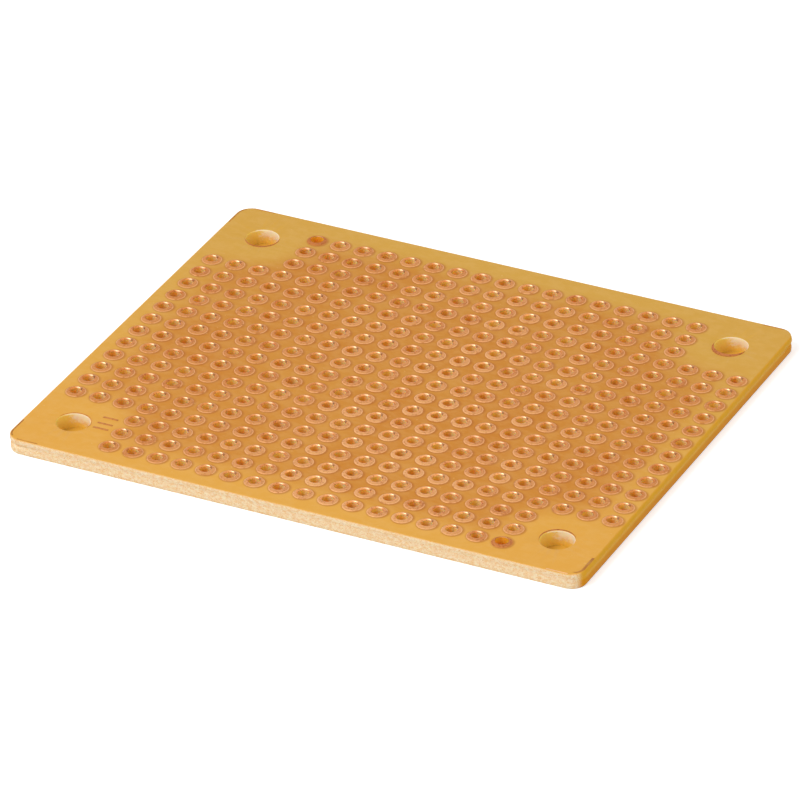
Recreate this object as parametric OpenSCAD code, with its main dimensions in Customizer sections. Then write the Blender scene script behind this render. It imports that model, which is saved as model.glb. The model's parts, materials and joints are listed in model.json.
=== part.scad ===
// Prototype board: a punched paper-phenolic board with copper on one face.
// A square grid of lead holes fills the board, each hole with its own etched copper pad.
// Four corner holes take mounting screws, and the grid is left out around them.
//
// Frame: origin at the centre of the underside, +X along the long side,
// +Y towards the back, +Z up through the copper side. Millimetres.

/* [Board] */
// Length of the board, along X
board_length = 59.5; // [40:0.5:100]
// Width of the board, along Y
board_width = 49.2; // [36:0.2:80]
// Thickness of the laminate
board_thickness = 1.6; // [1.2:0.1:3.2]
// Radius of the four corners in plan
corner_radius = 1.6; // [1:0.1:3]

/* [Punched edge] */
// Width and height of the rolled break along the copper side's rim
rim_roll = 0.12; // [0.05:0.01:0.2]
// Height of the straight lip under the copper side
lip_height = 0.55; // [0.3:0.05:0.6]
// Depth of the waist under the lip along the straight sides
waist_depth = 0.04; // [0.02:0.01:0.2]
// Depth of the waist around three corners, which a second punch rounds off.
// The front right corner has only the shallow waist of the straight sides
corner_waist_depth = 0.2; // [0.05:0.01:0.3]
// Height of the waist
waist_height = 0.4; // [0.1:0.05:0.4]
// Setback of the lower half of the edge behind the lip
belly_inset = 0.06; // [0:0.01:0.1]
// Setback of the edge at the underside
foot_inset = 0.12; // [0.1:0.01:0.4]
// Height of the sloping foot of the edge
foot_height = 0.15; // [0.1:0.05:0.2]

/* [Lead holes] */
// Distance from hole to hole, both ways
pitch = 2.54; // [2:0.01:3.2]
// Diameter of a lead hole
lead_hole_d = 1.1; // [0.8:0.05:1.2]
// Width of the dish that the punch draws around a hole on the copper side
dish_width = 0.12; // [0.05:0.01:0.15]
// Depth of that dish
dish_depth = 0.12; // [0.05:0.01:0.2]
// Width of the break-out around every hole on the underside
breakout_width = 0.06; // [0.02:0.01:0.1]
// Depth of that break-out
breakout_depth = 0.2; // [0.1:0.05:0.4]
// Diameter of the two registration holes
registration_hole_d = 1.3; // [1.1:0.05:1.4]
// Least width of board outside the pads at the two ends
end_clearance = 0.7; // [0.7:0.05:3]
// Least width of board outside the pads along the two long sides
side_clearance = 1.9; // [0.7:0.05:3]

/* [Copper] */
// Thickness of the copper foil
foil = 0.035; // [0.017:0.001:0.1]
// Width of copper all around a lead hole
ring_width = 0.45; // [0.42:0.01:0.6]
// How far the etched copper lies to the right of the board's centre
foil_drift_x = 0.35; // [0:0.05:0.4]
// How far the etched copper lies behind the board's centre
foil_drift_y = -0.4; // [-0.4:0.05:0.4]
// How far the punched lead holes lie to the right of the board's centre
punch_drift_x = 0.25; // [0:0.05:0.4]
// How far the punched lead holes lie behind the board's centre
punch_drift_y = -0.2; // [-0.4:0.05:0.4]

/* [Mounting holes] */
// Diameter of a mounting hole
mounting_hole_d = 3.2; // [2.2:0.1:3.6]
// Distance from a mounting hole's axis to the end of the board
mounting_inset_x = 4.65; // [4:0.05:6]
// Distance from a mounting hole's axis to the long side of the board
mounting_inset_y = 5.1; // [4:0.05:6]
// Half-width of the square around a mounting hole that stays free of lead holes
mounting_keepout = 4.6; // [4.2:0.1:6]
// Width of the dish around a mounting hole
mounting_dish_width = 0.1; // [0.05:0.01:0.2]
// Depth of the dish around a mounting hole
mounting_dish_depth = 0.15; // [0.05:0.01:0.3]

/* [Marks] */
// Width of the copper marks along the outline
mark_width = 0.13; // [0.1:0.01:0.3]
// Width of the one mark that lies further in from the rim, at the front right end
inner_mark_width = 0.24; // [0.1:0.01:0.4]
// Distance of that mark from the rim
inner_mark_inset = 0.1; // [0:0.05:0.4]
// Length of a mark along a long side
mark_length_x = 2.2; // [1:0.1:4]
// Length of a mark along an end
mark_length_y = 3.0; // [1:0.1:4]
// Distance from the corner to a mark along a long side
mark_setback_x = 1.3; // [0.5:0.1:2]
// Distance from the corner to a mark along an end
mark_setback_y = 0.6; // [0.5:0.1:2]
// Width of an index bar
index_width = 0.28; // [0.2:0.02:0.4]
// Distance from a mounting hole's land to the index bars, and from them to the next pad
index_gap = 0.1; // [0.05:0.05:0.3]
// Length of an index bar
index_length = 1.6; // [1:0.1:1.8]

/* [Hidden] */
$fn = 48;
eps = 0.5;

lead_hole_r = lead_hole_d / 2;
dish_r = lead_hole_r + dish_width;
pad_r = lead_hole_r + ring_width;
registration_r = registration_hole_d / 2;
mounting_r = mounting_hole_d / 2;
mounting_dish_r = mounting_r + mounting_dish_width;

// The grid takes as many pitches as fit between the clear margins
pad_columns = floor((board_length - 2 * (pad_r + end_clearance)) / pitch) + 1;
pad_rows = floor((board_width - 2 * (pad_r + side_clearance)) / pitch) + 1;
mounting_x = board_length / 2 - mounting_inset_x;
mounting_y = board_width / 2 - mounting_inset_y;

foil_drift = [foil_drift_x, foil_drift_y, 0];
punch_drift = [punch_drift_x, punch_drift_y, 0];

// Place of a grid column and row, before either drift
function column_x(c) = (c - (pad_columns + 1) / 2) * pitch;
function row_y(r) = (r - (pad_rows + 1) / 2) * pitch;
function is_open(c, r) =
    abs(abs(column_x(c)) - mounting_x) >= mounting_keepout
    || abs(abs(row_y(r)) - mounting_y) >= mounting_keepout;

// The registration holes: the first open column at the back, the last one at the front
first_open = ceil((mounting_keepout - mounting_x - column_x(1)) / pitch) + 1;
last_open = pad_columns + 1 - first_open;
function is_registration(c, r) =
    (c == first_open && r == pad_rows) || (c == last_open && r == 1);

// Height of each change of section up the punched edge
waist_top = board_thickness - lip_height;
waist_bottom = waist_top - waist_height;

// Corners of the punched edge: place in x and in y, turn, and depth of the waist
edge_corners = [
    [1, 1, 0, corner_waist_depth],
    [-1, 1, 90, corner_waist_depth],
    [-1, -1, 180, corner_waist_depth],
    [1, -1, 270, waist_depth]
];

// Offset of each mounting hole's etched land from the hole: front left, front right,
// back left, back right
mounting_corners = [[-1, -1], [1, -1], [-1, 1], [1, 1]];
land_drift = [[0.05, 0.2], [-0.1, 0.2], [0.1, -0.25], [-0.05, -0.8]];

// Marks along the outline: corner in x, corner in y, whether it lies along an end,
// distance from the rim, and width
outline_marks = [
    [-1, -1, true, 0, mark_width],
    [-1, -1, false, 0, mark_width],
    [-1, 1, true, 0, mark_width],
    [-1, 1, false, 0, mark_width],
    [1, 1, false, 0, mark_width],
    [1, -1, false, 0, mark_width],
    [1, -1, true, inner_mark_inset, inner_mark_width]
];
// Height of each index bar above the mounting hole's axis, in plan
index_rows = [0.05, 0.95, 2.05];

function row_name(r) = str("pads_row_", r < 10 ? "0" : "", r);

// Section of the punched edge: u runs outwards from a corner's centre, z upwards
module edge_section(waist) {
    polygon([
        [0, 0],
        [corner_radius - foot_inset, 0],
        [corner_radius - belly_inset, foot_height],
        [corner_radius - belly_inset, waist_bottom],
        [corner_radius - belly_inset - waist, waist_bottom + waist_height / 2],
        [corner_radius, waist_top],
        [corner_radius, board_thickness - rim_roll],
        [corner_radius - rim_roll, board_thickness],
        [0, board_thickness]
    ]);
}

// One straight stretch of edge, pointing along +X from the line x = 0
module straight_edge(length) {
    translate([0, length / 2, 0])
        rotate([90, 0, 0])
            linear_extrude(height = length)
                edge_section(waist_depth);
}

module blank() {
    core_length = board_length - 2 * corner_radius;
    core_width = board_width - 2 * corner_radius;
    union() {
        translate([-core_length / 2, -core_width / 2, 0])
            cube([core_length, core_width, board_thickness]);
        for (side = [-1, 1]) {
            translate([side * core_length / 2, 0, 0])
                rotate([0, 0, 90 - 90 * side])
                    straight_edge(core_width);
            translate([0, side * core_width / 2, 0])
                rotate([0, 0, 90 * side])
                    straight_edge(core_length);
        }
        for (corner = edge_corners)
            translate([corner[0] * core_length / 2, corner[1] * core_width / 2, 0])
                rotate([0, 0, corner[2]])
                    rotate_extrude(angle = 90)
                        edge_section(corner[3]);
    }
}

// A punched hole's straight wall, and the break-out where the punch leaves
module bare_hole(hole_r) {
    translate([0, 0, -eps])
        cylinder(h = board_thickness + 2 * eps, r = hole_r);
    cylinder(h = breakout_depth, r1 = hole_r + breakout_width, r2 = hole_r);
}

// The same hole with a dish drawn in at the copper side
module dished_hole(hole_r, mouth_r, mouth_depth) {
    bare_hole(hole_r);
    translate([0, 0, board_thickness - mouth_depth])
        cylinder(h = mouth_depth, r1 = hole_r, r2 = mouth_r);
}

module lead_hole(c, r) {
    translate([column_x(c), row_y(r), 0] + punch_drift)
        if (is_registration(c, r))
            bare_hole(registration_r);
        else
            dished_hole(lead_hole_r, dish_r, dish_depth);
}

module laminate() {
    color("#DDA34E")
        difference() {
            blank();
            for (c = [1:pad_columns])
                for (r = [1:pad_rows])
                    if (is_open(c, r))
                        lead_hole(c, r);
            for (corner = mounting_corners)
                translate([corner[0] * mounting_x, corner[1] * mounting_y, 0])
                    dished_hole(mounting_r, mounting_dish_r, mounting_dish_depth);
        }
}

// Foil drawn down into the dish, around the hole's own axis
module foil_lip() {
    translate([0, 0, board_thickness])
        rotate_extrude()
            polygon([
                [lead_hole_r, -dish_depth],
                [dish_r, 0],
                [dish_r, foil],
                [lead_hole_r, foil - dish_depth]
            ]);
}

// A flat ring of foil with an opening that follows the punched hole
module foil_ring(opening_r) {
    translate([0, 0, board_thickness])
        linear_extrude(height = foil)
            difference() {
                circle(r = pad_r);
                translate([punch_drift_x - foil_drift_x, punch_drift_y - foil_drift_y])
                    circle(r = opening_r);
            }
}

module pad(c, r) {
    translate([column_x(c), row_y(r), 0] + foil_drift)
        if (is_registration(c, r)) {
            foil_ring(registration_r);
        } else {
            union() {
                foil_ring(dish_r);
                translate(punch_drift - foil_drift)
                    foil_lip();
            }
        }
}

module pads_row(r) {
    color("#DE9A6A")
        for (c = [1:pad_columns])
            if (is_open(c, r))
                pad(c, r);
}

// What the mounting punch left of the etched land at each corner hole
module mounting_hole_lands() {
    color("#C98560")
        for (i = [0:3])
            translate([
                mounting_corners[i][0] * mounting_x,
                mounting_corners[i][1] * mounting_y,
                board_thickness
            ])
                linear_extrude(height = foil)
                    difference() {
                        translate(land_drift[i])
                            circle(r = mounting_dish_r);
                        circle(r = mounting_dish_r);
                    }
}

// The board's outline in plan, drawn in by an inset
module outline(inset) {
    half_length = board_length / 2 - inset;
    half_width = board_width / 2 - inset;
    radius = corner_radius - inset;
    square([2 * half_length, 2 * (half_width - radius)], center = true);
    square([2 * (half_length - radius), 2 * half_width], center = true);
    for (corner = mounting_corners)
        translate([corner[0] * (half_length - radius), corner[1] * (half_width - radius)])
            circle(r = radius);
}

// The stretch of rim that one mark covers, in the corner where x and y are positive
module mark_window(along_end) {
    if (along_end)
        translate([
            board_length / 2 - corner_radius,
            board_width / 2 - mark_setback_y - mark_length_y
        ])
            square([corner_radius, mark_length_y]);
    else
        translate([
            board_length / 2 - mark_setback_x - mark_length_x,
            board_width / 2 - corner_radius
        ])
            square([mark_length_x, corner_radius]);
}

module corner_marks() {
    color("#B9775A")
        translate([0, 0, board_thickness])
            for (mark = outline_marks)
                linear_extrude(height = foil)
                    intersection() {
                        difference() {
                            outline(rim_roll + mark[3]);
                            outline(rim_roll + mark[3] + mark[4]);
                        }
                        scale([mark[0], mark[1]])
                            mark_window(mark[2]);
                    }
}

// Three plain bars that show which corner is which
module index_bars() {
    start_x = mounting_dish_r - mounting_x + 4 * index_gap;
    color("#C98560")
        for (rise = index_rows)
            translate([start_x, rise - mounting_y - index_width / 2, board_thickness])
                cube([index_length, index_width, foil]);
}

laminate();
for (r = [1:pad_rows]) pads_row(r);
mounting_hole_lands();
corner_marks();
index_bars();
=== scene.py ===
"""Finishes and fine shapes of a punched paper-phenolic prototype board with copper on one side."""

import json
import math
import random

import bmesh
import bpy
from mathutils import Matrix, Vector


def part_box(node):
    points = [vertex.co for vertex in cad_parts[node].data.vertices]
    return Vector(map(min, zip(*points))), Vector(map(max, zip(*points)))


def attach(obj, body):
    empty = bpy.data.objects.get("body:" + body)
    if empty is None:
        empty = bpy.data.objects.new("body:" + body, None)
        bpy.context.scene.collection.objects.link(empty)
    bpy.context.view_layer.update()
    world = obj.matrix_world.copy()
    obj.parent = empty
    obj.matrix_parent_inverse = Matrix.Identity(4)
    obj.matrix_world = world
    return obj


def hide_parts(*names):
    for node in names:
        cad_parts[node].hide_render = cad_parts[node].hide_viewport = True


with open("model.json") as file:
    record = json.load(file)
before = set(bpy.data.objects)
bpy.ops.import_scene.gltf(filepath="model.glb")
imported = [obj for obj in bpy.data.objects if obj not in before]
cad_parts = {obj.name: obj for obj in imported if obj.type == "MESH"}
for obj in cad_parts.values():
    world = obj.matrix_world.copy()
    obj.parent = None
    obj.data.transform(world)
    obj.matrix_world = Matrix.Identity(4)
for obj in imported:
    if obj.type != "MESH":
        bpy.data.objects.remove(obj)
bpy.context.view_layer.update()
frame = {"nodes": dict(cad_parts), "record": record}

MM = 0.001

# Corners closer together than this count as one
MERGE = 0.0005 * MM

# ---------------------------------------------------------------- sizes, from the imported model

BOARD_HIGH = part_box("laminate")[1]
TOP = BOARD_HIGH.z
HALF_LENGTH = BOARD_HIGH.x
HALF_WIDTH = BOARD_HIGH.y

ROW_NAMES = sorted(name for name in frame["nodes"] if name.startswith("pads_row_"))
FRONT_ROW, BACK_ROW = ROW_NAMES[0], ROW_NAMES[-1]
ROW_BOXES = {name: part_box(name) for name in ROW_NAMES}
MOUNTS = {mount["name"]: mount for mount in frame["record"]["mounts"]}


def row_centre(name):
    low, high = ROW_BOXES[name]
    return (low.y + high.y) / 2


FRONT_ROW_LOW, FRONT_ROW_HIGH = ROW_BOXES[FRONT_ROW]
PAD_R = (FRONT_ROW_HIGH.y - FRONT_ROW_LOW.y) / 2
FOIL = FRONT_ROW_HIGH.z - TOP
PITCH = (row_centre(BACK_ROW) - row_centre(FRONT_ROW)) / (len(ROW_NAMES) - 1)
FIELD_LEFT = min(low.x for low, high in ROW_BOXES.values()) + PAD_R
FIELD_RIGHT = max(high.x for low, high in ROW_BOXES.values()) - PAD_R

LEAD_HOLE = MOUNTS["lead_hole"]
LEAD_R = LEAD_HOLE["dims"]["r_mm"] * MM
MOUNTING_R = MOUNTS["mounting_holes"]["dims"]["hole_r_mm"] * MM
MOUNTING_PLACES = [
    Vector(mount["pos_m"][:2]) for name, mount in MOUNTS.items()
    if name.startswith("mounting_hole_")
]


def offset_from_grid(place, start):
    """How far a place lies from the nearest line of a grid that begins at start."""
    steps = (place - start) / PITCH
    return (steps - round(steps)) * PITCH


# The punched holes lie a little to one side of the etched pads
PUNCH_OFFSET = Vector((
    offset_from_grid(LEAD_HOLE["pos_m"][0], FIELD_LEFT),
    offset_from_grid(LEAD_HOLE["pos_m"][1], row_centre(FRONT_ROW)),
))


def pad_places(name):
    """The plan positions of one row's pads, from left to right."""
    low, high = ROW_BOXES[name]
    count = round((high.x - low.x - 2 * PAD_R) / PITCH) + 1
    return [Vector((low.x + PAD_R + step * PITCH, row_centre(name))) for step in range(count)]


def is_registration(name, index):
    """The back row begins, and the front row ends, with a larger flat registration hole."""
    last = len(pad_places(name)) - 1
    return (name == BACK_ROW and index == 0) or (name == FRONT_ROW and index == last)


# ---------------------------------------------------------------- sizes of the fine shapes

# A lead hole: the dish that the punch draws on the copper side, and the break-out underneath
HOLE_SIDES = 16
DISH_WIDTH = 0.12 * MM
DISH_DEPTH = 0.12 * MM
BREAKOUT_WIDTH = 0.06 * MM
BREAKOUT_DEPTH = 0.2 * MM
REGISTRATION_R = 0.65 * MM

# Within this distance of its middle, a cell of the sheet is inside its outline
INSIDE_CELL = 0.49 * PITCH

# A mounting hole. Its dish goes from the rim down, as shares of its width and depth
MOUNTING_SIDES = 48
MOUNTING_DISH_WIDTH = 0.1 * MM
MOUNTING_DISH_DEPTH = 0.15 * MM
MOUNTING_DISH = [(1, 0), (0.5, 0.12), (0.14, 0.45), (0, 1)]

# The outline's rounded corners, and the cuts along the straight sides between them
CORNER_R = 1.6 * MM
CORNER_STEPS = 8
EDGE_CUTS_LONG = 44
EDGE_CUTS_SHORT = 36

# The size of the plane that is merged into the point where a section begins
SEED = 0.1 * MM

# The punched edge from the copper side down, in millimetres: setback from the outline and height
EDGE_SECTION = [
    (0.12, 1.6),
    (0.07, 1.588),
    (0.03, 1.555),
    (0.005, 1.5),
    (0.0, 1.38),
    (0.01, 1.18),
    (0.05, 1.06),
    (0.16, 0.96),
    (0.24, 0.87),
    (0.17, 0.77),
    (0.09, 0.67),
    (0.06, 0.54),
    (0.06, 0.3),
    (0.07, 0.14),
    (0.1, 0.05),
    (0.14, 0.0),
]

# All of the edge lies within this distance of the outline
EDGE_DEPTH = 0.29 * MM

# The waist fades out along the straight sides, and the front right corner has none
WAIST_LOW = 0.6 * MM
WAIST_HIGH = 1.15 * MM
WAIST_RUNOUT = 1.6 * MM
SIDE_WAIST = 0.06 * MM

# The right end's upper rim rolls over further than the others
ROLL_LOW = 1.1 * MM
ROLL_IN = 0.17 * MM
ROLL_DOWN = 0.05 * MM

# The foil: the slopes that etching leaves, and how far its underside beds into the resin
ETCH_SLOPE = 0.07 * MM
OPENING_SLOPE = 0.02 * MM
MARK_SLOPE = 0.05 * MM
BEDDING = 0.002 * MM

# The lip that is drawn down into a lead hole's dish: it starts outside the dish's mouth, bends
# inside it, and ends close to the hole's wall. The shares are of the foil's and the dish's depth
LIP_START = 0.03 * MM
LIP_BEND = 0.05 * MM
LIP_BEND_SHARE = 0.4
LIP_GAP = 0.03 * MM
LIP_GAP_SHARE = 0.45
LIP_END = 0.005 * MM
LIP_END_SHARE = 0.95

# The crescents of foil at the mounting holes keep this share of their width, and the front left
# one, a bright sliver whose paleness is a painted highlight, keeps a share of that
CRESCENT_SHARE = 0.6
FRONT_LEFT_SHARE = 0.5

# On the right half, foil within this distance of the front outline gets a painted highlight
HIGHLIGHT_REACH = 0.5 * MM

# Edges stay sharp where faces meet at more than these angles, in degrees
LAMINATE_CREASE = 40
COPPER_CREASE = 50
NORMAL_WEIGHT = 80

# Triangles that meet at less than this angle, in degrees, become one flat face
FLAT_CREASE = 1


# ---------------------------------------------------------------- modelling helpers

def deselect_everything():
    if bpy.context.object and bpy.context.object.mode != "OBJECT":
        bpy.ops.object.mode_set(mode="OBJECT")
    bpy.ops.object.select_all(action="DESELECT")


def edit_mode():
    bpy.ops.object.mode_set(mode="EDIT")


def object_mode():
    bpy.ops.object.mode_set(mode="OBJECT")
    return bpy.context.object


def choose(piece):
    deselect_everything()
    piece.select_set(True)
    bpy.context.view_layer.objects.active = piece


def select_edges(test):
    """In edit mode, selects the edges that pass a test, and nothing else."""
    shape = bmesh.from_edit_mesh(bpy.context.object.data)
    bpy.ops.mesh.select_mode(type="EDGE")
    bpy.ops.mesh.select_all(action="DESELECT")
    for edge in shape.edges:
        if test(edge):
            edge.select_set(True)
    bmesh.update_edit_mesh(bpy.context.object.data)


def lies_at(part, height):
    """Whether all corners of an edge or face lie at a height."""
    return all(abs(corner.co.z - height) < MERGE for corner in part.verts)


def add_ring(radius, height, sides, centre=(0, 0)):
    """Adds a ring of edges, which is left selected."""
    bpy.ops.mesh.primitive_circle_add(
        vertices=sides, radius=radius, fill_type="NOTHING", location=(*centre, height)
    )


def start_from_ring(radius, height, sides, centre=(0, 0)):
    """Starts a piece with a ring of edges, and leaves it in edit mode with the ring selected."""
    deselect_everything()
    add_ring(radius, height, sides, centre)
    bpy.ops.object.transform_apply(location=True)
    edit_mode()
    bpy.ops.mesh.select_all(action="SELECT")
    return bpy.context.object


def draw_on(stations):
    """Carries the selected ring from the first (radius, height) through all the others."""
    for (radius, height), (next_radius, next_height) in zip(stations, stations[1:]):
        bpy.ops.mesh.extrude_edges_move(
            TRANSFORM_OT_translate={"value": (0, 0, next_height - height)}
        )
        spread = next_radius / radius
        bpy.ops.transform.resize(value=(spread, spread, 1))


def fill_in_quads():
    """In edit mode, fills between the selected loops, in four-sided faces where it can."""
    bpy.ops.mesh.fill(use_beauty=True)
    bpy.ops.mesh.tris_convert_to_quads(face_threshold=math.pi, shape_threshold=math.pi)


def clean_shell():
    """In edit mode, merges doubles and turns every face outwards."""
    bpy.ops.mesh.select_all(action="SELECT")
    bpy.ops.mesh.remove_doubles(threshold=MERGE)
    bpy.ops.mesh.normals_make_consistent(inside=False)


def copy_at(master, name, place):
    """A copy of a master shape, with its own mesh, moved to its place."""
    mesh = master.data.copy()
    mesh.transform(Matrix.Translation((*place, 0)))
    piece = bpy.data.objects.new(name, mesh)
    bpy.context.scene.collection.objects.link(piece)
    return piece


def join(pieces, name):
    deselect_everything()
    for piece in pieces:
        piece.select_set(True)
    bpy.context.view_layer.objects.active = pieces[0]
    bpy.ops.object.join()
    joined = bpy.context.object
    joined.name = name
    joined.data.name = name
    return joined


def discard(piece):
    bpy.data.objects.remove(piece, do_unlink=True)


def mark_each_point(piece, name, value):
    """Gives every point of a piece the same value of an attribute, which its finish reads."""
    attribute = piece.data.attributes.new(name, "FLOAT", "POINT")
    attribute.data.foreach_set("value", [value] * len(piece.data.vertices))


def mark_points_where(piece, name, value, test):
    """Changes the attribute on the points whose place passes the test."""
    for index, corner in enumerate(piece.data.vertices):
        if test(corner.co):
            piece.data.attributes[name].data[index].value = value


def soften_normals(piece, crease):
    choose(piece)
    bpy.ops.object.shade_smooth_by_angle(angle=math.radians(crease))
    bpy.ops.object.modifier_add(type="WEIGHTED_NORMAL")
    modifier = piece.modifiers[-1]
    modifier.keep_sharp = True
    modifier.weight = NORMAL_WEIGHT
    bpy.ops.object.modifier_apply(modifier=modifier.name)


# ---------------------------------------------------------------- the laminate's shape

def square_outline(height):
    """In edit mode, a square one pitch wide, whose outline has as many edges as a hole."""
    bpy.ops.mesh.primitive_plane_add(size=PITCH, location=(0, 0, height))
    bpy.ops.mesh.subdivide(number_cuts=HOLE_SIDES // 4 - 1)
    bpy.ops.mesh.region_to_loop()
    shape = bmesh.from_edit_mesh(bpy.context.object.data)
    inner = [
        corner for corner in shape.verts
        if abs(corner.co.z - height) < MERGE and len(corner.link_faces) == 4
        and max(abs(corner.co.x), abs(corner.co.y)) < INSIDE_CELL
    ]
    bmesh.ops.delete(shape, geom=inner, context="VERTS")
    faces = [face for face in shape.faces if lies_at(face, height)]
    bmesh.ops.delete(shape, geom=faces, context="FACES_ONLY")
    bmesh.update_edit_mesh(bpy.context.object.data)


def hole_cell(name, stations):
    """One punched pitch of the sheet: the copper side, the hole's wall and the underside."""
    radius, height = stations[0]
    cell = start_from_ring(radius, height, HOLE_SIDES)
    cell.name = name
    draw_on(stations)
    for height in (stations[0][1], stations[-1][1]):
        square_outline(height)
        select_edges(lambda edge: lies_at(edge, height))
        fill_in_quads()
    clean_shell()
    return object_mode()


def lead_hole_cell():
    return hole_cell("lead_cell", [
        (LEAD_R + DISH_WIDTH, TOP),
        (LEAD_R, TOP - DISH_DEPTH),
        (LEAD_R, BREAKOUT_DEPTH),
        (LEAD_R + BREAKOUT_WIDTH, 0),
    ])


def registration_hole_cell():
    return hole_cell("registration_cell", [
        (REGISTRATION_R, TOP),
        (REGISTRATION_R, BREAKOUT_DEPTH),
        (REGISTRATION_R + BREAKOUT_WIDTH, 0),
    ])


def punched_field():
    """The part of the sheet that carries the lead holes, as joined cells."""
    lead_cell = lead_hole_cell()
    registration_cell = registration_hole_cell()
    mark_each_point(lead_cell, "registration", 0.0)
    mark_each_point(registration_cell, "registration", 1.0)
    cells = []
    for name in ROW_NAMES:
        for index, place in enumerate(pad_places(name)):
            master = registration_cell if is_registration(name, index) else lead_cell
            cells.append(copy_at(master, "cell", place + PUNCH_OFFSET))
    discard(lead_cell)
    discard(registration_cell)
    return join(cells, "punched_field")


def mounting_hole_walls():
    stations = [
        (MOUNTING_R + width * MOUNTING_DISH_WIDTH, TOP - depth * MOUNTING_DISH_DEPTH)
        for width, depth in MOUNTING_DISH
    ]
    stations += [(MOUNTING_R, BREAKOUT_DEPTH), (MOUNTING_R + BREAKOUT_WIDTH, 0)]
    walls = []
    for place in MOUNTING_PLACES:
        start_from_ring(stations[0][0], TOP, MOUNTING_SIDES, place)
        draw_on(stations)
        walls.append(object_mode())
    return join(walls, "mounting_hole_walls")


def edge_corner(across, along):
    """One rounded corner of the punched edge, spun from its section."""
    centre = Vector((across * (HALF_LENGTH - CORNER_R), along * (HALF_WIDTH - CORNER_R), 0))
    deselect_everything()
    setback, height = EDGE_SECTION[0]
    bpy.ops.mesh.primitive_plane_add(
        size=SEED, location=(centre.x + across * (CORNER_R - setback * MM), centre.y, height * MM)
    )
    bpy.ops.object.transform_apply(location=True)
    edit_mode()
    bpy.ops.mesh.select_mode(type="VERT")
    bpy.ops.mesh.select_all(action="SELECT")
    bpy.ops.mesh.merge(type="CENTER")
    for (setback, height), (next_setback, next_height) in zip(EDGE_SECTION, EDGE_SECTION[1:]):
        outwards = across * (setback - next_setback) * MM
        bpy.ops.mesh.extrude_vertices_move(
            TRANSFORM_OT_translate={"value": (outwards, 0, (next_height - height) * MM)}
        )
    bpy.ops.mesh.select_all(action="SELECT")
    bpy.ops.mesh.spin(
        steps=CORNER_STEPS, angle=-across * along * math.pi / 2, center=centre, axis=(0, 0, 1)
    )
    return object_mode()


def edge_band():
    """The whole punched edge: four corners, and straight sides bridged between them."""
    band = join([edge_corner(x, y) for x in (-1, 1) for y in (-1, 1)], "edge_band")
    edit_mode()
    straight_x = HALF_LENGTH - CORNER_R
    straight_y = HALF_WIDTH - CORNER_R
    for side in (-1, 1):
        select_edges(lambda edge: (
            edge.is_boundary and edge.verts[0].co.y * side > straight_y
            and all(abs(abs(corner.co.x) - straight_x) < MERGE for corner in edge.verts)
        ))
        bpy.ops.mesh.bridge_edge_loops(number_cuts=EDGE_CUTS_LONG)
        select_edges(lambda edge: (
            edge.is_boundary and edge.verts[0].co.x * side > straight_x
            and all(abs(abs(corner.co.y) - straight_y) < MERGE for corner in edge.verts)
        ))
        bpy.ops.mesh.bridge_edge_loops(number_cuts=EDGE_CUTS_SHORT)
    clean_shell()
    object_mode()
    return band


def laminate_shape():
    board = join([punched_field(), mounting_hole_walls(), edge_band()], "phenolic_board")
    edit_mode()
    bpy.ops.mesh.select_all(action="SELECT")
    bpy.ops.mesh.remove_doubles(threshold=MERGE)
    for height in (TOP, 0):
        select_edges(lambda edge: edge.is_boundary and lies_at(edge, height))
        bpy.ops.mesh.fill(use_beauty=True)
    clean_shell()
    object_mode()
    return board


# ---------------------------------------------------------------- the edge, finished point by point

def smooth_step(value, start, end):
    share = min(1.0, max(0.0, (value - start) / (end - start)))
    return share * share * (3 - 2 * share)


def from_outline(place):
    """How deep a place lies inside the rounded outline, the way out, and how far from a corner."""
    past_x = abs(place.x) - (HALF_LENGTH - CORNER_R)
    past_y = abs(place.y) - (HALF_WIDTH - CORNER_R)
    way = Vector((math.copysign(max(past_x, 0), place.x), math.copysign(max(past_y, 0), place.y)))
    along = max(0, -min(past_x, past_y))
    return CORNER_R - way.length, way.normalized(), along


def relax_edge(board):
    """Draws the waist back out away from three corners, and rolls the right end's rim over."""
    for corner in board.data.vertices:
        place = corner.co
        depth, way, along = from_outline(place)
        if depth > EDGE_DEPTH:
            continue
        if WAIST_LOW < place.z < WAIST_HIGH and depth > SIDE_WAIST:
            ease = smooth_step(along, 0, WAIST_RUNOUT)
            if place.x > 0 and place.y < 0:
                ease = 1
            place.xy += way * ease * (depth - SIDE_WAIST)
        if place.z > ROLL_LOW and way.x > 0:
            climb = (place.z - ROLL_LOW) / (TOP - ROLL_LOW)
            turned = way.x ** 2
            place.x -= turned * ROLL_IN * climb ** 2
            place.z -= turned * ROLL_DOWN * math.sin(math.pi * climb)


# ---------------------------------------------------------------- the copper's shapes

def foil_ring(name, outer_stations, inner_stations):
    """A closed ring of foil: its etched rim, its off-centre opening, and the faces between them."""
    radius, height = outer_stations[0]
    ring = start_from_ring(radius, height, HOLE_SIDES)
    ring.name = name
    draw_on(outer_stations)
    radius, height = inner_stations[0]
    add_ring(radius, height, HOLE_SIDES, PUNCH_OFFSET)
    draw_on(inner_stations)
    for level in (outer_stations[0][1], outer_stations[-1][1]):
        select_edges(lambda edge: lies_at(edge, level) and edge.is_boundary)
        fill_in_quads()
    clean_shell()
    return object_mode()


PAD_RIM = [(PAD_R - ETCH_SLOPE, TOP + FOIL), (PAD_R, TOP - BEDDING)]


def lead_pad():
    mouth = LEAD_R + DISH_WIDTH
    return foil_ring("lead_pad", PAD_RIM, [
        (mouth + LIP_START, TOP + FOIL),
        (mouth - LIP_BEND, TOP + LIP_BEND_SHARE * FOIL),
        (LEAD_R + LIP_GAP, TOP - LIP_GAP_SHARE * DISH_DEPTH),
        (LEAD_R + LIP_END, TOP - LIP_END_SHARE * DISH_DEPTH),
        (mouth, TOP - BEDDING),
    ])


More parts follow.
